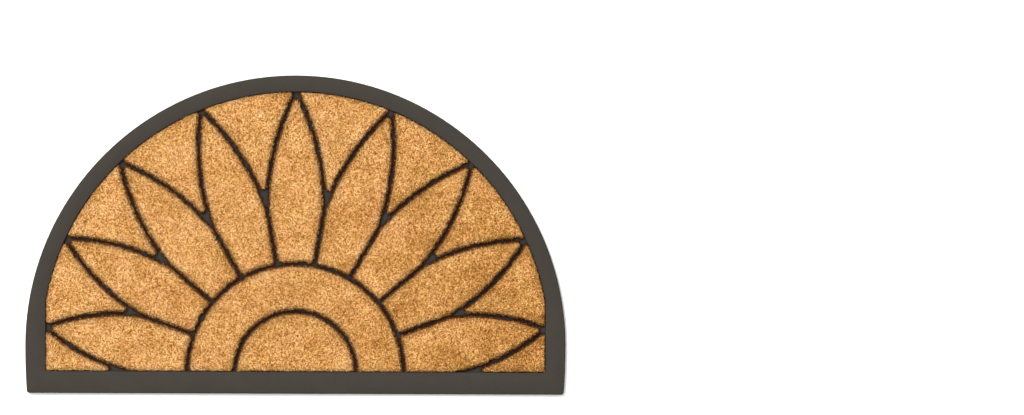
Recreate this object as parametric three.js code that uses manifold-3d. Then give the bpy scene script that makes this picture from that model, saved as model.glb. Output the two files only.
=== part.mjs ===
// A half-round doormat of coir and rubber, 750 mm wide and 442 mm deep, lying flat.
// One moulded rubber tray has a flat border, and low ribs that part the field inside it into cells.
// Each cell holds a pad of cut coir pile. The pads stand a little above the border and far above the
// ribs, so there are deep grooves between them.
// The pads are laid out as a half daisy: a heart and a ring in the middle of the straight edge,
// nine pointed petals round them, and a corner pad between each two petal tips.
// Millimetres, +Z up. The origin is on the floor, at the centre of the mat's bounding box.
// The straight edge faces -Y and the round edge faces +Y.

import * as THREE from "three";
import { mergeVertices } from "three/addons/utils/BufferGeometryUtils.js";
import Module from "manifold-3d";

// The mat's outline
const matWidth = 750;
const straightEdgeDrop = 67; // from the centre of the round edge to the straight edge
const sideLean = 2.5; // how far the short sides lean in over that drop
const cornerRadius = 3; // where the sides meet the straight edge
const roundBorder = 22.5; // width of the rubber along the round edge
const sideBorder = 28; // along the short sides
const straightBorder = 30.5; // along the straight edge

// The rubber tray and the pile, as heights above the floor
const cellFloorHeight = 2;
const ribHeight = 3;
const borderHeight = 8.5;
const borderRounding = 1.6; // of the border's outer rim
const borderRoundingSteps = 3;
const ribWidth = 7;
const pileHeight = 10.5;
const pileRounding = 1.2; // of each pad's upper rim
const pileRoundingSteps = 2;
const padCornerRadius = 2.5; // of each pad's corners, seen from above
const gap = 0.3; // between a pad and the ribs and floor of its cell
const borderGap = 1; // between a pad and the border

// The daisy, measured from the middle of the pile's straight edge
const heartRadius = 84;
const ringRadius = 150;
const petalCount = 9;
const forkRadius = 230; // where the rib between two petals forks towards their tips
const shoulderBulge = 0.06; // how far a petal's shoulder bows out, as a share of its length

const chordError = 0.06; // how far a straight facet may stray from its arc
const overrun = 5; // how far a cutting block runs past what it cuts

const rubberColour = 0x4c4741;
const coirColour = 0xd89d5a;

const outerRadius = matWidth / 2;
const matDepth = outerRadius + straightEdgeDrop;
const straightEdgeY = -matDepth / 2;
const pileEdgeY = straightEdgeY + straightBorder;
const pileRadius = outerRadius - roundBorder;
const pileSideX = outerRadius - sideBorder;
const petalAngle = Math.PI / petalCount;
const roundCentre = new THREE.Vector2(0, straightEdgeY + straightEdgeDrop);
const daisyCentre = new THREE.Vector2(0, pileEdgeY);

const wasm = await Module();
wasm.setup();

// The point at a distance and an angle from a centre.
function polar(centre, radius, angle) {
  return new THREE.Vector2(Math.cos(angle), Math.sin(angle)).multiplyScalar(radius).add(centre);
}

// Edges of a region. Each keeps the region on one side of a line or a circle. A cell stays back from it
// by the edge's margin, and a pad by its clearance as well.
const alongBorder = { margin: 0, clearance: borderGap };
const alongRib = { margin: ribWidth / 2, clearance: gap };

function straight(point, inward, along) {
  return { inward, reach: inward.dot(point), ...along };
}
function inside(centre, radius, along) {
  return { centre, radius, turn: 1, ...along };
}
function outside(centre, radius, along) {
  return { centre, radius, turn: -1, ...along };
}

// The same edge, moved into its region.
function movedIn(edge, by) {
  return edge.inward ? { ...edge, reach: edge.reach + by } : { ...edge, radius: edge.radius - edge.turn * by };
}

// The point of an edge that is nearest to a given point.
function nearestOn(edge, point) {
  if (edge.inward) return point.clone().addScaledVector(edge.inward, edge.reach - edge.inward.dot(point));
  return point.clone().sub(edge.centre).setLength(edge.radius).add(edge.centre);
}

// Where two edges cross, as the crossing nearest to a given point.
function crossing(a, b, near) {
  if (!a.inward && b.inward) return crossing(b, a, near);
  if (a.inward && b.inward) {
    const cross = a.inward.cross(b.inward);
    const x = (a.reach * b.inward.y - b.reach * a.inward.y) / cross;
    const y = (a.inward.x * b.reach - b.inward.x * a.reach) / cross;
    return new THREE.Vector2(x, y);
  }
  let across, foot;
  if (a.inward) {
    across = a.inward.clone();
    foot = b.centre.clone().addScaledVector(across, a.reach - across.dot(b.centre));
  } else {
    const apart = b.centre.clone().sub(a.centre);
    const distance = apart.length();
    across = apart.divideScalar(distance);
    const along = (distance ** 2 + a.radius ** 2 - b.radius ** 2) / (2 * distance);
    foot = a.centre.clone().addScaledVector(across, along);
  }
  const half = Math.sqrt(Math.max(0, b.radius ** 2 - foot.distanceToSquared(b.centre)));
  const way = new THREE.Vector2(-across.y, across.x);
  const found = [half, -half].map((step) => foot.clone().addScaledVector(way, step));
  return found[0].distanceTo(near) < found[1].distanceTo(near) ? found[0] : found[1];
}

// Points from one corner up to the next, without the last one.
function alongEdge(edge, from, to) {
  if (edge.inward) return [from];
  const start = Math.atan2(from.y - edge.centre.y, from.x - edge.centre.x);
  const end = Math.atan2(to.y - edge.centre.y, to.x - edge.centre.x);
  const fullTurn = 2 * Math.PI;
  const sweep = (((end - start) * edge.turn) % fullTurn + fullTurn) % fullTurn;
  const facet = 2 * Math.acos(1 - chordError / edge.radius);
  const steps = Math.max(1, Math.ceil(sweep / facet));
  return Array.from({ length: steps }, (_, i) =>
    polar(edge.centre, edge.radius, start + (edge.turn * sweep * i) / steps),
  );
}

// A rounded outline, from its edges in turn, anticlockwise, and the far end of each.
function roundedOutline(edges, ends, radius) {
  const centres = edges.map((edge, i) =>
    crossing(movedIn(edge, radius), movedIn(edges[(i + 1) % edges.length], radius), ends[i]),
  );
  return edges.flatMap((edge, i) => {
    const next = edges[(i + 1) % edges.length];
    const leaves = nearestOn(edge, centres[i]);
    return [
      ...alongEdge(edge, nearestOn(edge, centres.at(i - 1)), leaves),
      ...alongEdge(inside(centres[i], radius), leaves, nearestOn(next, centres[i])),
    ];
  });
}

// The outlines of a cell and of the pad in it, from the cell's sides. A side is an edge and its far end.
function cellOutline(sides) {
  const edges = sides.map(([edge]) => movedIn(edge, edge.margin));
  return roundedOutline(edges, sides.map(([, end]) => end), padCornerRadius + gap);
}
function padOutline(sides) {
  const edges = sides.map(([edge]) => movedIn(edge, edge.margin + edge.clearance));
  return roundedOutline(edges, sides.map(([, end]) => end), padCornerRadius);
}

// The tray's outer edge: the round edge runs smoothly into two short sides that lean in a little.
function matOutline() {
  const sideRadius = (straightEdgeDrop ** 2 + sideLean ** 2) / (2 * sideLean);
  const cornerX = outerRadius - sideLean;
  const half = [
    ...cornerArc(cornerX),
    ...alongEdge(
      inside(new THREE.Vector2(outerRadius - sideRadius, roundCentre.y), sideRadius),
      new THREE.Vector2(cornerX, straightEdgeY + cornerRadius),
      new THREE.Vector2(outerRadius, roundCentre.y),
    ),
    ...alongEdge(
      inside(roundCentre, outerRadius),
      new THREE.Vector2(outerRadius, roundCentre.y),
      new THREE.Vector2(0, matDepth / 2),
    ),
  ];
  const mirrored = half.map((point) => new THREE.Vector2(-point.x, point.y)).reverse();
  return [...half, new THREE.Vector2(0, matDepth / 2), ...mirrored];
}

// The rounded corner between the straight edge and the right-hand side.
function cornerArc(cornerX) {
  const centre = new THREE.Vector2(cornerX - cornerRadius, straightEdgeY + cornerRadius);
  return alongEdge(
    inside(centre, cornerRadius),
    new THREE.Vector2(centre.x, straightEdgeY),
    new THREE.Vector2(cornerX, centre.y),
  );
}

// The edges of the whole field of pile
const pileEdge = straight(daisyCentre, new THREE.Vector2(0, 1), alongBorder);
const rightSide = straight(new THREE.Vector2(pileSideX, 0), new THREE.Vector2(-1, 0), alongBorder);
const leftSide = straight(new THREE.Vector2(-pileSideX, 0), new THREE.Vector2(1, 0), alongBorder);
const roundEdge = inside(roundCentre, pileRadius, alongBorder);
const kneeRise = Math.sqrt(pileRadius ** 2 - pileSideX ** 2) + roundCentre.y - daisyCentre.y;
const kneeAngle = Math.atan2(kneeRise, pileSideX); // where a side meets the round edge
const rim = [
  { edge: rightSide, upTo: kneeAngle },
  { edge: roundEdge, upTo: Math.PI - kneeAngle },
  { edge: leftSide, upTo: Math.PI },
];

// Where the rim lies, seen from the daisy's centre.
function rimPoint(angle) {
  if (angle < kneeAngle || angle > Math.PI - kneeAngle) {
    return polar(daisyCentre, pileSideX / Math.abs(Math.cos(angle)), angle);
  }
  const rise = roundCentre.y - daisyCentre.y;
  const along = rise * Math.sin(angle) + Math.sqrt(pileRadius ** 2 - (rise * Math.cos(angle)) ** 2);
  return polar(daisyCentre, along, angle);
}

// The rim's stretches between two angles, each with its far end.
function rimBetween(from, to) {
  return rim
    .filter(({ upTo }, i) => upTo > from && (i === 0 || rim[i - 1].upTo < to))
    .map(({ edge, upTo }) => [edge, rimPoint(Math.min(upTo, to))]);
}

// Petals and the ribs between them are numbered anticlockwise, petals from 1 and ribs from 0.
const tipAngle = (petal) => petalAngle * (petal - 0.5);
const fork = (rib) => polar(daisyCentre, forkRadius, petalAngle * rib);
const tip = (petal) => rimPoint(tipAngle(petal));

// The circle of a petal's shoulder, which bows out to the right of the way from one end to the other.
function shoulder(from, to) {
  const chord = to.clone().sub(from);
  const bulge = shoulderBulge * chord.length();
  const radius = (chord.lengthSq() / 4 + bulge ** 2) / (2 * bulge);
  const left = new THREE.Vector2(-chord.y, chord.x).normalize();
  const centre = from.clone().lerp(to, 0.5).addScaledVector(left, radius - bulge);
  return [centre, radius, alongRib];
}
const rightShoulder = (petal) => shoulder(fork(petal - 1), tip(petal));
const leftShoulder = (petal) => shoulder(tip(petal), fork(petal));

// One side of a petal, along a rib or, for the outermost petals, along the straight edge.
function spoke(rib, towards) {
  if (rib === 0 || rib === petalCount) return pileEdge;
  const angle = petalAngle * rib;
  const inward = new THREE.Vector2(-Math.sin(angle), Math.cos(angle)).multiplyScalar(towards);
  return straight(daisyCentre, inward, alongRib);
}

function heartSides() {
  return [
    [pileEdge, polar(daisyCentre, heartRadius, 0)],
    [inside(daisyCentre, heartRadius, alongRib), polar(daisyCentre, heartRadius, Math.PI)],
  ];
}

function ringSides() {
  return [
    [pileEdge, polar(daisyCentre, ringRadius, 0)],
    [inside(daisyCentre, ringRadius, alongRib), polar(daisyCentre, ringRadius, Math.PI)],
    [pileEdge, polar(daisyCentre, heartRadius, Math.PI)],
    [outside(daisyCentre, heartRadius, alongRib), polar(daisyCentre, heartRadius, 0)],
  ];
}

function petalSides(petal) {
  const ringEnd = (rib) => polar(daisyCentre, ringRadius, petalAngle * rib);
  return [
    [spoke(petal - 1, 1), fork(petal - 1)],
    [inside(...rightShoulder(petal)), tip(petal)],
    [inside(...leftShoulder(petal)), fork(petal)],
    [spoke(petal, -1), ringEnd(petal)],
    [outside(daisyCentre, ringRadius, alongRib), ringEnd(petal - 1)],
  ];
}

// A corner pad stands on a rib's fork, between the petals on either side of it.
function cornerSides(rib) {
  const first = rib === 0;
  const last = rib === petalCount;
  return [
    first ? [pileEdge, rimPoint(0)] : [outside(...leftShoulder(rib)), tip(rib)],
    ...rimBetween(first ? 0 : tipAngle(rib), last ? Math.PI : tipAngle(rib + 1)),
    last ? [pileEdge, fork(rib)] : [outside(...rightShoulder(rib + 1)), fork(rib)],
  ];
}

// Every pad by name, with the sides of the cell that it fills.
const pads = [
  ["coir_heart", heartSides()],
  ["coir_ring", ringSides()],
  ...Array.from({ length: petalCount }, (_, i) => [`coir_petal_${i + 1}`, petalSides(i + 1)]),
  ...Array.from({ length: petalCount + 1 }, (_, i) => [`coir_corner_${i + 1}`, cornerSides(i)]),
];

// A prism on an outline, from one height to another. Its rims may be rounded or chamfered.
function prism(points, low, high, rounding, steps) {
  const geometry = new THREE.ExtrudeGeometry(new THREE.Shape(points), {
    depth: high - low - 2 * rounding,
    bevelEnabled: rounding > 0,
    bevelThickness: rounding,
    bevelSize: rounding,
    bevelOffset: -rounding,
    bevelSegments: steps,
  });
  return geometry.translate(0, 0, low + rounding);
}

function solidOf(geometry) {
  geometry.deleteAttribute("normal");
  geometry.deleteAttribute("uv");
  const merged = mergeVertices(geometry, 1e-4);
  return new wasm.Manifold(
    new wasm.Mesh({
      numProp: 3,
      vertProperties: merged.attributes.position.array,
      triVerts: new Uint32Array(merged.index.array),
    }),
  );
}

function geometryOf(solid) {
  const { vertProperties, triVerts } = solid.getMesh();
  const geometry = new THREE.BufferGeometry();
  geometry.setAttribute("position", new THREE.BufferAttribute(vertProperties, 3));
  geometry.setIndex(new THREE.BufferAttribute(triVerts, 1));
  geometry.computeVertexNormals();
  return geometry;
}

// A block that covers the whole mat between two heights.
function slab(low, high) {
  const block = new THREE.BoxGeometry(matWidth + 2 * overrun, matDepth + 2 * overrun, high - low);
  return solidOf(block.translate(0, 0, (low + high) / 2));
}

// The whole field inside the border, as an outline with rounded corners.
function fieldOutline() {
  const edges = [pileEdge, ...rim.map(({ edge }) => edge)];
  const ends = [rimPoint(0), ...rim.map(({ upTo }) => rimPoint(upTo))];
  return roundedOutline(edges, ends, padCornerRadius + gap);
}

// The tray: a plate with a rounded rim, cut off flat at the floor, less its field and its cells.
function rubberTray() {
  const plate = prism(matOutline(), -overrun, borderHeight, borderRounding, borderRoundingSteps);
  const top = borderHeight + overrun;
  let tray = solidOf(plate).subtract(slab(-2 * overrun, 0));
  tray = tray.subtract(solidOf(prism(fieldOutline(), ribHeight, top, 0, 1)));
  for (const [, sides] of pads) {
    tray = tray.subtract(solidOf(prism(cellOutline(sides), cellFloorHeight, top, 0, 1)));
  }
  return geometryOf(tray);
}

// A pad of pile: flat underneath, with a rounded upper rim.
function coirPad(sides) {
  const underside = cellFloorHeight + gap;
  const pad = solidOf(prism(padOutline(sides), -overrun, pileHeight, pileRounding, pileRoundingSteps));
  return geometryOf(pad.subtract(slab(-2 * overrun, underside)));
}

const rubber = new THREE.MeshStandardMaterial({ color: rubberColour, roughness: 0.75, metalness: 0 });
const coir = new THREE.MeshStandardMaterial({ color: coirColour, roughness: 0.95, metalness: 0 });

function named(name, geometry, material) {
  const mesh = new THREE.Mesh(geometry, material);
  mesh.name = name;
  return mesh;
}

const doormat = new THREE.Group();
doormat.add(named("rubber_tray", rubberTray(), rubber));
for (const [name, sides] of pads) {
  doormat.add(named(name, coirPad(sides), coir));
}

export default doormat;
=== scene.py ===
# The looks of a half round doormat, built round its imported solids: a matt moulded rubber tray, and pads
# of cut coir pile whose bristles are real geometry. It is seen from straight above, in soft white light.

import math
import random
from itertools import accumulate

import bmesh
import bpy
import numpy
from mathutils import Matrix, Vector, noise
from mathutils.bvhtree import BVHTree


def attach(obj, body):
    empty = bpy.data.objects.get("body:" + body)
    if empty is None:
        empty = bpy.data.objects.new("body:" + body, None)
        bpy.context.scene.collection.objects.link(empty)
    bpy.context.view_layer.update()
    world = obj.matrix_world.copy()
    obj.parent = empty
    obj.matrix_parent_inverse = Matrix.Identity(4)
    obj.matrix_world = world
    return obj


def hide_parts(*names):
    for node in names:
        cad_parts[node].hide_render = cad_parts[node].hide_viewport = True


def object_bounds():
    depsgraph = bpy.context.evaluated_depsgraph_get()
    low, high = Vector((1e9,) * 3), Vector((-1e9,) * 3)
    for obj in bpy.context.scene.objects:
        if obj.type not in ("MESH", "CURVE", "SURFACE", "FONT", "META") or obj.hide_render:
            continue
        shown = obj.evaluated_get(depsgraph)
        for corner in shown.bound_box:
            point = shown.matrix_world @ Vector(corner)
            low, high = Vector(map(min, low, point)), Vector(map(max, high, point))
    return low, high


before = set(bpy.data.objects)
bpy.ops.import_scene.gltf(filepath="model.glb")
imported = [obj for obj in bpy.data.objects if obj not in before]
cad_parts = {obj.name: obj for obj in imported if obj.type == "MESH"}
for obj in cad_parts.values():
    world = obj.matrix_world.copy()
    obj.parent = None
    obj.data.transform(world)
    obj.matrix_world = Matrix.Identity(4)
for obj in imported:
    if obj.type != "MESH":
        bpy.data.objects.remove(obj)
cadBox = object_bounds()
millimetre = 0.001


# Camera: straight above, framed as in the photo. Its axis meets the pile's top in the middle of the picture.
picture = {
    "width": 1024,
    "height": 415,
    "matMiddle": (295.8, 235.4),  # the pixel where the middle of the mat's box lies
    "metresAPixel": 0.001387,
    "lens": 150,
    "sensor": 36,
    "rollDegrees": 0.21,
}


def placeCamera():
    lens = bpy.data.cameras.new("camera")
    lens.lens = picture["lens"]
    lens.sensor_width = picture["sensor"]
    camera = bpy.data.objects.new("camera", lens)
    bpy.context.scene.collection.objects.link(camera)
    pictureWidth = picture["width"] * picture["metresAPixel"]
    camera.location = (
        (picture["width"] / 2 - picture["matMiddle"][0]) * picture["metresAPixel"],
        (picture["matMiddle"][1] - picture["height"] / 2) * picture["metresAPixel"],
        cadBox[1].z + pictureWidth * picture["lens"] / picture["sensor"],
    )
    camera.rotation_euler.z = math.radians(picture["rollDegrees"])
    bpy.context.scene.camera = camera


# Light: a soft white room and one softbox
studio = {
    "skyStrength": 1.05,
    "skyColour": (1.0, 0.99, 0.975),
    "keyPower": 845,
    "keySize": 2.5,
    "keyPlace": (-2.9, 3.5, 7.0),  # beyond the round edge and to the left
    "keyColour": (1.0, 0.985, 0.96),
}


def lightStudio():
    world = bpy.data.worlds.new("paleRoom")
    world.use_nodes = True
    background = world.node_tree.nodes["Background"]
    background.inputs["Color"].default_value = (*studio["skyColour"], 1)
    background.inputs["Strength"].default_value = studio["skyStrength"]
    bpy.context.scene.world = world
    lamp = bpy.data.lights.new("softbox", "AREA")
    lamp.energy = studio["keyPower"]
    lamp.size = studio["keySize"]
    lamp.color = studio["keyColour"]
    softbox = bpy.data.objects.new("softbox", lamp)
    softbox.location = studio["keyPlace"]
    softbox.rotation_euler = (-Vector(studio["keyPlace"])).to_track_quat("-Z", "Y").to_euler()
    softbox.visible_camera = False
    bpy.context.scene.collection.objects.link(softbox)
    bpy.context.scene.view_settings.view_transform = "Standard"
    bpy.context.scene.view_settings.look = "None"


# Helpers for node trees
def addNode(tree, kind, inputs=None, **settings):
    node = tree.nodes.new(kind)
    for name, value in settings.items():
        setattr(node, name, value)
    for name, value in (inputs or {}).items():
        if isinstance(value, bpy.types.NodeSocket):
            tree.links.new(value, node.inputs[name])
        else:
            node.inputs[name].default_value = value
    return node


# A Mix node has several sockets of each name, so the ones for colours go by their number.
mixSockets = {"factor": 0, "first": 6, "second": 7, "result": 2}


def blendColours(tree, factor, first, second):
    inputs = {mixSockets["factor"]: factor}
    for socket, colour in (("first", first), ("second", second)):
        isSocket = isinstance(colour, bpy.types.NodeSocket)
        inputs[mixSockets[socket]] = colour if isSocket else (*colour, 1)
    node = addNode(tree, "ShaderNodeMix", inputs, data_type="RGBA")
    return node.outputs[mixSockets["result"]]


def multiplyColours(tree, first, second):
    node = addNode(tree, "ShaderNodeVectorMath", {0: first, 1: second}, operation="MULTIPLY")
    return node.outputs["Vector"]


def maths(tree, operation, first, second=0.0):
    node = addNode(tree, "ShaderNodeMath", {0: first, 1: second}, operation=operation)
    return node.outputs[0]


noiseSpan = (0.3, 0.7)  # a noise texture seldom leaves this


# A noise value stretched over the range from low to high
def stretchNoise(tree, value, low=0.0, high=1.0, **settings):
    inputs = {
        "Value": value,
        "From Min": noiseSpan[0],
        "From Max": noiseSpan[1],
        "To Min": low,
        "To Max": high,
    }
    return addNode(tree, "ShaderNodeMapRange", inputs, **settings).outputs["Result"]


# A value from 0 to 1, turned into a shift to either side
def shiftBy(tree, value, amount):
    return maths(tree, "MULTIPLY", maths(tree, "SUBTRACT", value, 0.5), amount)


def heightOf(tree, place):
    return addNode(tree, "ShaderNodeSeparateXYZ", {"Vector": place}).outputs["Z"]


def ramp(tree, value, stops):
    node = addNode(tree, "ShaderNodeValToRGB", {"Fac": value})
    elements = node.color_ramp.elements
    while len(elements) < len(stops):
        elements.new(0.5)
    for element, (place, colour) in zip(elements, stops):
        element.position = place
        element.color = (*colour, 1)
    return node.outputs["Color"]


def newGroup(name, inputs, outputs):
    group = bpy.data.node_groups.new(name, "ShaderNodeTree")
    for socket, (kind, value) in inputs.items():
        made = group.interface.new_socket(socket, in_out="INPUT", socket_type=kind)
        if value is not None:
            made.default_value = value
    for socket, kind in outputs.items():
        group.interface.new_socket(socket, in_out="OUTPUT", socket_type=kind)
    return group, addNode(group, "NodeGroupInput").outputs, addNode(group, "NodeGroupOutput")


def useGroup(tree, group, inputs):
    return addNode(tree, "ShaderNodeGroup", inputs, node_tree=group).outputs


effects = {
    "cloudDetail": 3.0,  # of the soft patches
    "cloudRoughness": 0.55,
    "coarseShare": 0.3,  # scale of the grain's coarser bumps to that of its pebbles
    "coarseDetail": 2.0,
    "speckScale": 900.0,
    "speckDetail": 2.0,
    "dustCloudScale": 60.0,
    "dustCloudDetail": 4.0,
    "dustFrom": 0.22,  # of specks times clouds: below this there is no dust
    "dustTo": 0.42,
}


# Soft patches: a mask of broad cloudy areas, from 0 to 1.
def makePatches():
    group, given, put = newGroup(
        "softPatches",
        {"Vector": ("NodeSocketVector", None), "Scale": ("NodeSocketFloat", 25.0)},
        {"Mask": "NodeSocketFloat"},
    )
    cloud = addNode(
        group,
        "ShaderNodeTexNoise",
        {
            "Vector": given["Vector"],
            "Scale": given["Scale"],
            "Detail": effects["cloudDetail"],
            "Roughness": effects["cloudRoughness"],
        },
    )
    mask = stretchNoise(group, cloud.outputs["Fac"], interpolation_type="SMOOTHSTEP")
    group.links.new(mask, put.inputs["Mask"])
    return group


# Fine grain: a pebbled height and a shade that goes with it.
def makeGrain():
    group, given, put = newGroup(
        "fineGrain",
        {"Vector": ("NodeSocketVector", None), "Scale": ("NodeSocketFloat", 1200.0)},
        {"Height": "NodeSocketFloat", "Shade": "NodeSocketFloat"},
    )
    pebbles = addNode(
        group,
        "ShaderNodeTexVoronoi",
        {"Vector": given["Vector"], "Scale": given["Scale"]},
        feature="SMOOTH_F1",
    )
    coarse = addNode(
        group,
        "ShaderNodeTexNoise",
        {
            "Vector": given["Vector"],
            "Scale": maths(group, "MULTIPLY", given["Scale"], effects["coarseShare"]),
            "Detail": effects["coarseDetail"],
        },
    )
    height = maths(group, "ADD", pebbles.outputs["Distance"], coarse.outputs["Fac"])
    group.links.new(height, put.inputs["Height"])
    group.links.new(coarse.outputs["Fac"], put.inputs["Shade"])
    return group


# Dust: specks and thin clouds, more of them where Amount is high.
def makeDust():
    group, given, put = newGroup(
        "dust",
        {"Vector": ("NodeSocketVector", None), "Amount": ("NodeSocketFloat", 0.3)},
        {"Mask": "NodeSocketFloat"},
    )
    specks = addNode(
        group,
        "ShaderNodeTexNoise",
        {
            "Vector": given["Vector"],
            "Scale": effects["speckScale"],
            "Detail": effects["speckDetail"],
        },
    )
    cloud = addNode(
        group,
        "ShaderNodeTexNoise",
        {
            "Vector": given["Vector"],
            "Scale": effects["dustCloudScale"],
            "Detail": effects["dustCloudDetail"],
        },
    )
    both = maths(group, "MULTIPLY", specks.outputs["Fac"], cloud.outputs["Fac"])
    lift = addNode(
        group,
        "ShaderNodeMapRange",
        {"Value": both, "From Min": effects["dustFrom"], "From Max": effects["dustTo"]},
    )
    mask = maths(group, "MULTIPLY", lift.outputs["Result"], given["Amount"])
    group.links.new(mask, put.inputs["Mask"])
    return group


softPatches = makePatches()
fineGrain = makeGrain()
dust = makeDust()


def newMaterial(name, settings):
    material = bpy.data.materials.new(name)
    material.use_nodes = True
    tree = material.node_tree
    shader = tree.nodes["Principled BSDF"]
    for socket, value in settings.items():
        shader.inputs[socket].default_value = value
    place = addNode(tree, "ShaderNodeTexCoord").outputs["Object"]
    return material, tree, shader, place


def bump(tree, height, distance, strength):
    inputs = {"Height": height, "Distance": distance, "Strength": strength}
    return addNode(tree, "ShaderNodeBump", inputs).outputs["Normal"]


# The rubber tray
tray = {
    "name": "moulded_tray",
    "edgeRounding": 0.7 * millimetre,
    "edgeSteps": 2,
    "sharpDegrees": 25,
    "roundedAbove": 2.5 * millimetre,  # so the edges at the cells' floor stay sharp
    "deepColour": (0.0278, 0.0236, 0.0194),
    "paleColour": (0.0296, 0.0253, 0.0210),
    "dustColour": (0.20, 0.13, 0.065),
    "dustAmount": 0.02,
    "patchScale": 22.0,
    "grainScale": 1500.0,
    "grainDepth": 0.05 * millimetre,
    "grainStrength": 1.0,
    "grainShade": (0.9, 1.1),  # times the colour, from the grain's hollows to its tops
    "roughness": (0.62, 0.78),  # likewise
    "specular": 0.12,
    "shadeFrom": 3.5 * millimetre,  # painted shade: up to here the ribs down in the grooves are painted darker
    "shadeTo": 8.45 * millimetre,  # and from here the border has its full colour, so its rounded outer edge is painted darker too
    "ribShade": 0.95,
}


def makeRubber():
    rubber, tree, shader, place = newMaterial("mouldedRubber", {"Specular IOR Level": tray["specular"]})
    patches = useGroup(tree, softPatches, {"Vector": place, "Scale": tray["patchScale"]})
    grain = useGroup(tree, fineGrain, {"Vector": place, "Scale": tray["grainScale"]})
    specks = useGroup(tree, dust, {"Vector": place, "Amount": tray["dustAmount"]})
    colour = blendColours(tree, patches["Mask"], tray["deepColour"], tray["paleColour"])
    grained = stretchNoise(tree, grain["Shade"], *tray["grainShade"])
    # Painted shade: the rubber is darkened below the border's top, on the ribs in the grooves and on the
    # border's rounded outer edge
    paintedShadeNode = addNode(
        tree,
        "ShaderNodeMapRange",
        {
            "Value": heightOf(tree, place),
            "From Min": tray["shadeFrom"],
            "From Max": tray["shadeTo"],
            "To Min": tray["ribShade"],
        },
    )
    both = maths(tree, "MULTIPLY", grained, paintedShadeNode.outputs["Result"])
    shaded = addNode(tree, "ShaderNodeVectorMath", {0: colour, "Scale": both}, operation="SCALE")
    dusty = blendColours(tree, specks["Mask"], shaded.outputs["Vector"], tray["dustColour"])
    tree.links.new(dusty, shader.inputs["Base Color"])
    rough = stretchNoise(tree, grain["Shade"], *tray["roughness"])
    tree.links.new(rough, shader.inputs["Roughness"])
    normal = bump(tree, grain["Height"], tray["grainDepth"], tray["grainStrength"])
    tree.links.new(normal, shader.inputs["Normal"])
    return rubber


mending = {
    "weldWithin": 0.005 * millimetre,
    "flatDegrees": 0.4,  # faces that meet at less than this become one
}


# A node's solid with its corners welded and its flat faces whole again
def solidCopy(node):
    bm = bmesh.new()
    bm.from_mesh(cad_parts[node].data)
    bmesh.ops.remove_doubles(bm, verts=bm.verts, dist=mending["weldWithin"])
    angle = math.radians(mending["flatDegrees"])
    bmesh.ops.dissolve_limit(bm, angle_limit=angle, verts=bm.verts, edges=bm.edges)
    return bm


def objectFrom(mesh, name, material):
    mesh.materials.append(material)
    made = bpy.data.objects.new(name, mesh)
    bpy.context.scene.collection.objects.link(made)
    return made


def buildTray(rubber):
    bm = solidCopy("rubber_tray")
    sharp = [
        edge
        for edge in bm.edges
        if edge.calc_face_angle(0) > math.radians(tray["sharpDegrees"])
        and min(vert.co.z for vert in edge.verts) > tray["roundedAbove"]
    ]
    bmesh.ops.bevel(
        bm,
        geom=sharp,
        affect="EDGES",
        offset=tray["edgeRounding"],
        segments=tray["edgeSteps"],
        profile=0.5,
        material=-1,
    )
    bmesh.ops.triangulate(bm, faces=bm.faces, ngon_method="BEAUTY")
    mesh = bpy.data.meshes.new(tray["name"])
    bm.to_mesh(mesh)
    bm.free()
    made = objectFrom(mesh, tray["name"], rubber)
    mesh.shade_smooth()
    mesh.set_sharp_from_angle(angle=math.radians(tray["sharpDegrees"]))
    return made


# The pads of pile: a bed inside each pad's solid, tufts cut off level over its top, fibres that lie among
# them, and more tufts up its walls
pile = {
    "bedDrop": 1.8 * millimetre,  # the bed lies this far below the pad's full height
    "rimDrop": 3.8 * millimetre,  # and its rim this far below the pad's
    "kneeHeight": 5.0 * millimetre,  # what is above this goes down with the bed
    # The bed is painted dark, as shade in the gaps between the bristles
    "bedTint": 0.2,
    "uprightWithin": 0.1,  # a wall's normal rises or falls less than this
    "spacing": 1.0 * millimetre,
    "jitter": 0.45,  # of the spacing
    "rootDepth": 0.25 * millimetre,  # how far a root is sunk in the bed
    "unevenCut": 0.2 * millimetre,
    "leastRise": 0.7 * millimetre,  # of a tip over its root
    "lengthRange": (0.75, 1.2),  # times the length, from one bristle to the next
    "leanRange": (0.5, 1.4),  # times the lean
    "clumpSize": 3.5 * millimetre,
    "brushedLean": 0.5,  # broad areas where the pile lies one way
    "brushedSize": 50 * millimetre,
    "tones": [  # size of the patches that share a tone, and how much their tint varies
        (3.5 * millimetre, 0.1),
        (9 * millimetre, 0.13),
        (24 * millimetre, 0.17),
    ],
    "toneShift": (7, 3, 0),  # moves the tones' noise off the others
    "dullMiddle": (0.36, -0.20),  # painted shade: the pile is painted darker towards this corner, where less light falls
    "dullReach": 0.42,
    "dullTint": -0.22,
    "laidShare": 0.3,
    "shoulder": 7.5 * millimetre,  # over this width the pile slopes down to a pad's rim
    "shoulderDrop": 1.0 * millimetre,
    "shoulderTint": -0.03,  # and is painted this much darker, as shade on the shoulder
    "raggedSize": 5 * millimetre,  # of the bays and bulges along a pad's rim
    "broadRagged": 18 * millimetre,  # of longer stretches where the rim stands back or leans out
    "broadShare": 0.6,
    "rimReach": 2 * millimetre,  # past a rim, to see what lies there
    "bayDepth": 4.5 * millimetre,
    "borderRagged": 0.3,  # the share of it beside the border
    "bulgeLevel": 0.03,  # of the noise: above it tufts may hang over the rim
    "hairShare": 0.04,  # of the bristles at the rim are hairs across the groove
    "hairWidth": 0.3 * millimetre,
    "gapSize": 1.5 * millimetre,
    "gapLevel": 0.37,  # of the noise that leaves out bristles: higher is fewer
    "twistDegrees": 60,  # from a bristle's root to its tip
    "edgeRise": 0.3,  # of the random vector that turns a bristle's flat side
    "strandSpan": 100,  # over which the bristles' own numbers lie
    "seed": 11,
}
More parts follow.
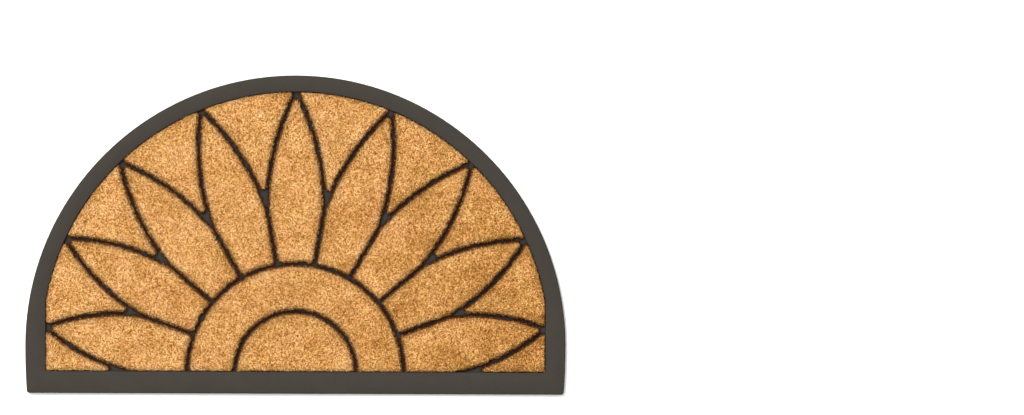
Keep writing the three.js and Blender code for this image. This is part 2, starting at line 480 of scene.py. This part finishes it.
tuft = {  # lengths and widths in millimetres
    "length": 3.0,
    "lean": 0.8,
    "clumpLean": 1.2,
    "rootWidth": 1.05,
    "tipWidth": 0.8,
    "palest": 0.76,  # tint, and how far most bristles are from it
    "spread": 0.24,
}
laid = {
    "length": 5.4,
    "lean": 2.0,
    "clumpLean": 0.6,
    "rootWidth": 1.15,
    "tipWidth": 0.6,
    "palest": 0.92,
    "spread": 0.26,
}
wall = {  # heights, lengths and widths in millimetres
    "rows": [  # height above the floor, length, and outward lean
        (3.3, 4.6, 2.6),
        (4.2, 4.2, 2.2),
        (5.4, 3.2, 1.1),
        (7.3, 2.9, 0.6),
    ],
    "spacing": 0.9 * millimetre,
    "rootWidth": 1.2,
    "tipWidth": 0.8,
    "palest": 0.7,
    "spread": 0.25,
    "sideways": 0.35,
    "ragged": 2.0,  # how much the lean follows the rim's bays and bulges
    "heightStray": 0.6,  # up or down from a row
    "lengthRange": (0.75, 1.15),
    "leanRange": (0.3, 1.7),
    "clearance": 0.3 * millimetre,  # to the border
    "lookOut": 2,  # bristle lengths: how far off the border is looked for
    "footWithin": 0.01 * millimetre,
}
straightUp = Vector((0, 0, 1))


# A pad's solid with its top lowered, more so at the rim
def coirBed(node):
    bm = solidCopy(node)
    top = max(vert.co.z for vert in bm.verts)
    upper = [vert for vert in bm.verts if vert.co.z > pile["kneeHeight"]]
    rimHeight = top - min(vert.co.z for vert in upper)
    for vert in upper:
        below = (top - vert.co.z) / rimHeight
        vert.co.z -= pile["bedDrop"] + (pile["rimDrop"] - pile["bedDrop"]) * below
    return bm


# The box of a bed, seen from above
def spanOf(bed):
    places = [vert.co for vert in bed.verts]
    low = Vector((min(p.x for p in places), min(p.y for p in places)))
    high = Vector((max(p.x for p in places), max(p.y for p in places)))
    return low, high


# Where a point lands on a bed or on the tray when it is dropped straight down, or None beside it
def landing(tree, x, y):
    return tree.ray_cast(Vector((x, y, cadBox[1].z)), -straightUp)[0]


# The upright walls of a bed alone
def wallsOf(bed):
    walls = [face for face in bed.faces if abs(face.normal.z) < pile["uprightWithin"]]
    corners = [vert.co for face in walls for vert in face.verts]
    ends = list(accumulate(len(face.verts) for face in walls))
    rings = [list(range(end - len(face.verts), end)) for face, end in zip(walls, ends)]
    return BVHTree.FromPolygons(corners, rings)


# How far a place is from a pad's rim, and whether the border is on the other side of that rim
def rimBy(walls, trayTree, place):
    spot, outward, _, away = walls.find_nearest(Vector((place.x, place.y, pile["kneeHeight"])))
    beyond = spot + outward * pile["rimReach"]
    ground = landing(trayTree, beyond.x, beyond.y)
    return away, ground and ground.z > tray["shadeTo"]


# Where a pad's rim bulges, above 0, and where it has a bay, below 0
def raggedAt(place):
    flat = Vector((place.x, place.y, 0))
    broad = noise.noise(flat / pile["broadRagged"])
    return noise.noise(flat / pile["raggedSize"]) + pile["broadShare"] * broad


# A bristle is a row of numbers, and these are its columns.
columns = {
    "root": slice(0, 3),
    "tip": slice(3, 6),
    "side": slice(6, 9),  # the direction of the root's edge
    "rootWidth": slice(9, 10),
    "tipWidth": slice(10, 11),
    "tint": 11,
    "rim": 12,  # how near it is to its pad's rim, from 0 to 1
}


def bristle(root, way, length, widths, tint, near, chance):
    wander = Vector((chance.gauss(0, 1), chance.gauss(0, 1), pile["edgeRise"]))
    side = way.cross(wander).normalized()
    return (*(root - way * pile["rootDepth"]), *(root + way * length), *side, *widths, tint, near)


def widthsOf(kind):
    return kind["rootWidth"] * millimetre, kind["tipWidth"] * millimetre


def tintAt(place, kind, chance):
    tint = kind["palest"] - kind["spread"] * chance.expovariate(1)
    for size, amount in pile["tones"]:
        tint += amount * noise.noise(place / size + Vector(pile["toneShift"]))
    # Painted shade: darker towards one corner of the pile
    away = (place.xy - Vector(pile["dullMiddle"])).length
    return tint + pile["dullTint"] * max(0, 1 - away / pile["dullReach"])


# The way of a bristle on the top, leaning by itself, with its clump and with the broad brushing
def wayAt(place, kind, chance):
    turn = chance.uniform(0, 2 * math.pi)
    lean = Vector((math.cos(turn), math.sin(turn), 0)) * kind["lean"] * chance.uniform(*pile["leanRange"])
    lean += noise.noise_vector(place / pile["clumpSize"]) * kind["clumpLean"]
    lean += noise.noise_vector(place / pile["brushedSize"]) * pile["brushedLean"]
    lean.z = 1
    return lean.normalized()


# The places of a jittered triangular grid over a bed's box
def gridOver(bed, chance):
    low, high = spanOf(bed)
    rowStep = pile["spacing"] * math.sqrt(3) / 2
    stray = pile["jitter"] * pile["spacing"]
    for row in range(math.ceil((high.y - low.y) / rowStep)):
        for step in range(math.ceil((high.x - low.x) / pile["spacing"]) + 1):
            x = low.x + (step + row % 2 / 2) * pile["spacing"] + chance.uniform(-stray, stray)
            y = low.y + row * rowStep + chance.uniform(-stray, stray)
            yield x, y


# Bristles on the top, all cut off at one level. At the rim some tufts hang over it, a few are thin hairs
# across the groove, and the others turn inwards or stand upright.
def topBristles(bed, bedTree, trayTree, chance):
    walls = wallsOf(bed)
    grown = []
    for x, y in gridOver(bed, chance):
        root = landing(bedTree, x, y)
        if not root or noise.noise(root / pile["gapSize"]) > pile["gapLevel"]:
            continue
        away, besideBorder = rimBy(walls, trayTree, root)
        ragged = raggedAt(root) * (pile["borderRagged"] if besideBorder else 1)
        if away < -ragged * pile["bayDepth"]:
            continue
        near = max(0, 1 - away / pile["shoulder"])
        kind = laid if chance.random() < pile["laidShare"] else tuft
        way = wayAt(root, kind, chance)
        cut = cadBox[1].z + chance.gauss(0, pile["unevenCut"]) - near**2 * pile["shoulderDrop"]
        cut = max(cut, root.z + pile["leastRise"])
        grownLength = kind["length"] * millimetre * chance.uniform(*pile["lengthRange"])
        length = min(grownLength, (cut - root.z) / way.z)
        # Near a rim the tint is lowered: painted shade on the pile's sloping shoulder
        tint = tintAt(root, kind, chance) + near * pile["shoulderTint"]
        widths = widthsOf(kind)
        tip = root + way * length
        if not landing(bedTree, tip.x, tip.y):
            overBorder = landing(trayTree, tip.x, tip.y).z > tray["shadeTo"]
            if chance.random() < pile["hairShare"] and not overBorder:
                widths = (pile["hairWidth"], pile["hairWidth"])
            elif kind is laid or overBorder or ragged < pile["bulgeLevel"]:
                way = Vector((-way.x, -way.y, way.z))
                tip = root + way * length
                if not landing(bedTree, tip.x, tip.y):
                    way = straightUp
                    length = cut - root.z
        grown.append(bristle(root, way, length, widths, tint, near, chance))
    return grown


# Bristles on the walls: rows round the pad that lean out over the ribs. Beside the border those that would
# reach it are left out.
def wallBristles(bed, bedTree, trayTree, chance):
    foot = min(vert.co.z for vert in bed.verts)
    footLevel = foot + wall["footWithin"]
    under = next(face for face in bed.faces if face.calc_center_median().z < footLevel)
    grown = []
    for loop in under.loops:
        start, end = loop.link_loop_next.vert.co, loop.vert.co
        along = end - start
        outward = along.normalized().cross(straightUp)
        count = max(1, round(along.length / wall["spacing"]))
        for height, length, lean in wall["rows"]:
            for step in range(count):
                root = start + along * ((step + chance.random()) / count)
                root.z = (height + chance.uniform(-wall["heightStray"], wall["heightStray"])) * millimetre
                root = bedTree.find_nearest(root)[0]
                ragged = 1 + wall["ragged"] * raggedAt(root)
                way = straightUp + outward * lean * ragged * chance.uniform(*wall["leanRange"])
                way += along.normalized() * lean * chance.gauss(0, wall["sideways"])
                way.normalize()
                reach = length * millimetre * chance.uniform(*wall["lengthRange"])
                room = trayTree.ray_cast(root, outward, wall["lookOut"] * reach)[3]
                if room and way.dot(outward) * reach > room - wall["clearance"]:
                    continue
                tint = tintAt(root, wall, chance)
                # Wall bristles get the full painted rim shade
                grown.append(bristle(root, way, reach, widthsOf(wall), tint, 1, chance))
    return grown


# A bristle is a closed wedge of four corners: an edge at its root, and one turned from it at its cut tip.
def bristleCorners(grown):
    start, tip, side = (grown[:, columns[part]] for part in ("root", "tip", "side"))
    halfRoot, halfTip = (grown[:, columns[part]] / 2 for part in ("rootWidth", "tipWidth"))
    way = tip - start
    way /= numpy.linalg.norm(way, axis=1, keepdims=True)
    twist = math.radians(pile["twistDegrees"])
    turned = side * math.cos(twist) + numpy.cross(way, side) * math.sin(twist)
    rootEdge = [start - side * halfRoot, start + side * halfRoot]
    tipEdge = [tip - turned * halfTip, tip + turned * halfTip]
    return numpy.stack(rootEdge + tipEdge, axis=1).reshape(-1, 3)


wedgeFaces = numpy.array([(0, 1, 2), (3, 2, 1), (2, 3, 0), (1, 0, 3)])
# The same faces unfolded as a strip, each corner on its own spot of a unit cell
wedgeMap = numpy.array(
    [
        [(0, 0), (0, 1), (0.5, 0)],
        [(0.5, 1), (0.5, 0), (0, 1)],
        [(0.5, 0), (0.5, 1), (1, 0)],
        [(1, 1), (1, 0), (0.5, 1)],
    ]
)
bake = {
    "bedShare": 0.25,  # of the map's height
    "bedFill": 0.98,  # of that share
    "slant": 0.3,  # of a point's height, so that walls get some area too
    "margin": 0.1,  # of a bristle's cell
}


# A pad's mesh: its bed, then its bristles. The strand attribute runs across a bristle and up it, and its
# third number tells bristles apart. On the bed it is the place in millimetres.
def pileMesh(name, bed, grown, chance):
    bmesh.ops.triangulate(bed, faces=bed.faces)
    bed.verts.index_update()
    bedPlaces = numpy.array([vert.co for vert in bed.verts])
    bedFaces = numpy.array([[vert.index for vert in face.verts] for face in bed.faces])
    bed.free()
    count = len(grown)
    starts = len(bedPlaces) + 4 * numpy.arange(count)
    faces = numpy.concatenate([bedFaces, (starts[:, None, None] + wedgeFaces).reshape(-1, 3)])
    mesh = bpy.data.meshes.new(name)
    mesh.from_pydata(numpy.concatenate([bedPlaces, bristleCorners(grown)]), [], faces)
    # The bed's dark tint is painted shade between the bristles
    for attribute, ofBed in (("tint", pile["bedTint"]), ("rim", 0)):
        ofBristles = numpy.repeat(grown[:, columns[attribute]], 4)
        values = numpy.concatenate([numpy.full(len(bedPlaces), ofBed), ofBristles])
        made = mesh.attributes.new(attribute, "FLOAT", "POINT")
        made.data.foreach_set("value", values.astype(numpy.float32))
    own = numpy.repeat([chance.uniform(0, pile["strandSpan"]) for _ in range(count)], 4)
    strand = numpy.stack([numpy.tile([-1, 1, -1, 1], count), numpy.tile([0, 0, 1, 1], count), own], axis=1)
    strand = numpy.concatenate([bedPlaces / millimetre * (1, 1, 0), strand]).astype(numpy.float32)
    mesh.attributes.new("strand", "FLOAT_VECTOR", "POINT").data.foreach_set("vector", strand.ravel())
    mesh.uv_layers.new(name="OFBake").data.foreach_set("uv", bakeMap(bedPlaces[bedFaces], count).ravel())
    return mesh


# The bed is mapped from above into the lower part, and each bristle has a cell of its own over it.
def bakeMap(bedCorners, count):
    flat = bedCorners[:, :, :2] + bedCorners[:, :, 2:] * bake["slant"]
    low, high = flat.min(axis=(0, 1)), flat.max(axis=(0, 1))
    bedMap = (flat - low) / (high - low) * (1, bake["bedShare"] * bake["bedFill"])
    bristleShare = 1 - bake["bedShare"]
    across = math.ceil(math.sqrt(count / bristleShare))
    cell = numpy.array([1 / across, bristleShare / math.ceil(count / across)])
    index = numpy.arange(count)
    spots = numpy.stack([index % across, index // across], axis=1) * cell + (0, bake["bedShare"])
    inCell = bake["margin"] + (1 - 2 * bake["margin"]) * wedgeMap
    wedges = spots[:, None, None] + inCell * cell
    return numpy.concatenate([bedMap.reshape(-1, 2), wedges.reshape(-1, 2)])


coir = {
    "stops": [  # tint from dark fibres to pale ones
        (0.0, (0.17, 0.066, 0.009)),
        (0.25, (0.48, 0.224, 0.038)),
        (0.5, (0.762, 0.418, 0.129)),
        (0.75, (0.92, 0.575, 0.232)),
        (1.0, (0.99, 0.735, 0.41)),
    ],
    "rimShade": (0.71, 0.76, 0.92),  # painted shade: what is left of each colour at a pad's rim and on its walls
    "rosy": (1.01, 0.985, 1.0),  # soft areas of the pile lean to this hue
    "yellowish": (0.985, 1.012, 0.965),  # and the others to this one
    "hueScale": 45.0,
    "streakScale": 2.2,  # of the strand attribute
    "streakDetail": 2.0,
    "streakTint": 0.6,
    "streakDepth": 0.15 * millimetre,
    "streakStrength": 0.5,
    "patchScale": 14.0,
    "patchTint": 0.1,
    "specular": 0.2,
    "roughness": 0.85,
    "shades": [  # painted shade: share of the pile's height, and how much of each colour is left there, darker deep in the pile and down the groove walls
        (0.33, (0.060, 0.0145, 0.003)),
        (0.62, (0.105, 0.036, 0.010)),
        (0.76, (0.36, 0.26, 0.18)),
        (0.86, (0.69, 0.585, 0.44)),
        (0.93, (0.925, 0.885, 0.82)),
        (1.0, (1.0, 1.0, 1.0)),
    ],
}


def makeCoir():
    finish = {"Specular IOR Level": coir["specular"], "Roughness": coir["roughness"]}
    material, tree, shader, place = newMaterial("coirPile", finish)
    tint = addNode(tree, "ShaderNodeAttribute", attribute_name="tint").outputs["Fac"]
    rim = addNode(tree, "ShaderNodeAttribute", attribute_name="rim").outputs["Fac"]
    strand = addNode(tree, "ShaderNodeAttribute", attribute_name="strand").outputs["Vector"]
    streaks = addNode(
        tree,
        "ShaderNodeTexNoise",
        {"Vector": strand, "Scale": coir["streakScale"], "Detail": coir["streakDetail"]},
    ).outputs["Fac"]
    patches = useGroup(tree, softPatches, {"Vector": place, "Scale": coir["patchScale"]})
    wander = shiftBy(tree, streaks, coir["streakTint"])
    drift = shiftBy(tree, patches["Mask"], coir["patchTint"])
    fibres = ramp(tree, maths(tree, "ADD", maths(tree, "ADD", tint, wander), drift), coir["stops"])
    areas = useGroup(tree, softPatches, {"Vector": place, "Scale": coir["hueScale"]})
    hue = blendColours(tree, areas["Mask"], coir["rosy"], coir["yellowish"])
    # Painted shade: the fibres are darker the lower they lie in the pile
    shade = ramp(tree, maths(tree, "DIVIDE", heightOf(tree, place), cadBox[1].z), coir["shades"])
    # Painted shade at the pads' rounded rims and on their walls over the grooves
    dim = blendColours(tree, rim, (1, 1, 1), coir["rimShade"])
    colour = fibres
    for factor in (hue, shade, dim):
        colour = multiplyColours(tree, colour, factor)
    tree.links.new(colour, shader.inputs["Base Color"])
    normal = bump(tree, streaks, coir["streakDepth"], coir["streakStrength"])
    tree.links.new(normal, shader.inputs["Normal"])
    return material


def buildPad(node, seed, material, trayTree):
    chance = random.Random(seed)
    bed = coirBed(node)
    bedTree = BVHTree.FromBMesh(bed)
    grown = topBristles(bed, bedTree, trayTree, chance) + wallBristles(bed, bedTree, trayTree, chance)
    name = node.replace("coir_", "") + "_pile"
    return objectFrom(pileMesh(name, bed, numpy.array(grown), chance), name, material)


ground = {
    "size": 60,
    "dullColour": (0.90, 0.90, 0.895),
    "paleColour": (0.92, 0.92, 0.915),
    "patchScale": 3.0,
    "roughness": 0.9,
    "specular": 0.2,
}


def layFloor():
    finish = {"Roughness": ground["roughness"], "Specular IOR Level": ground["specular"]}
    pale, tree, shader, place = newMaterial("paleFloor", finish)
    patches = useGroup(tree, softPatches, {"Vector": place, "Scale": ground["patchScale"]})
    colour = blendColours(tree, patches["Mask"], ground["dullColour"], ground["paleColour"])
    tree.links.new(colour, shader.inputs["Base Color"])
    bm = bmesh.new()
    bmesh.ops.create_grid(bm, x_segments=1, y_segments=1, size=ground["size"] / 2)
    mesh = bpy.data.meshes.new("floor")
    bm.to_mesh(mesh)
    bm.free()
    floor = objectFrom(mesh, "floor", pale)


placeCamera()
lightStudio()
print("camera and light placed")

rubberPiece = buildTray(makeRubber())
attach(rubberPiece, "root")
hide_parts("rubber_tray")
print("tray built:", len(rubberPiece.data.polygons), "triangles")

coirMaterial = makeCoir()
solidTray = solidCopy("rubber_tray")
trayTree = BVHTree.FromBMesh(solidTray)
solidTray.free()
padNodes = sorted(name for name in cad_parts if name.startswith("coir_"))
noise.seed_set(pile["seed"])  # the bristles' clumps and brushing lie the same way in every run
for number, node in enumerate(padNodes):
    pad = buildPad(node, pile["seed"] + number, coirMaterial, trayTree)
    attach(pad, "root")
    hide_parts(node)
    print(pad.name, len(pad.data.polygons), "triangles")

layFloor()
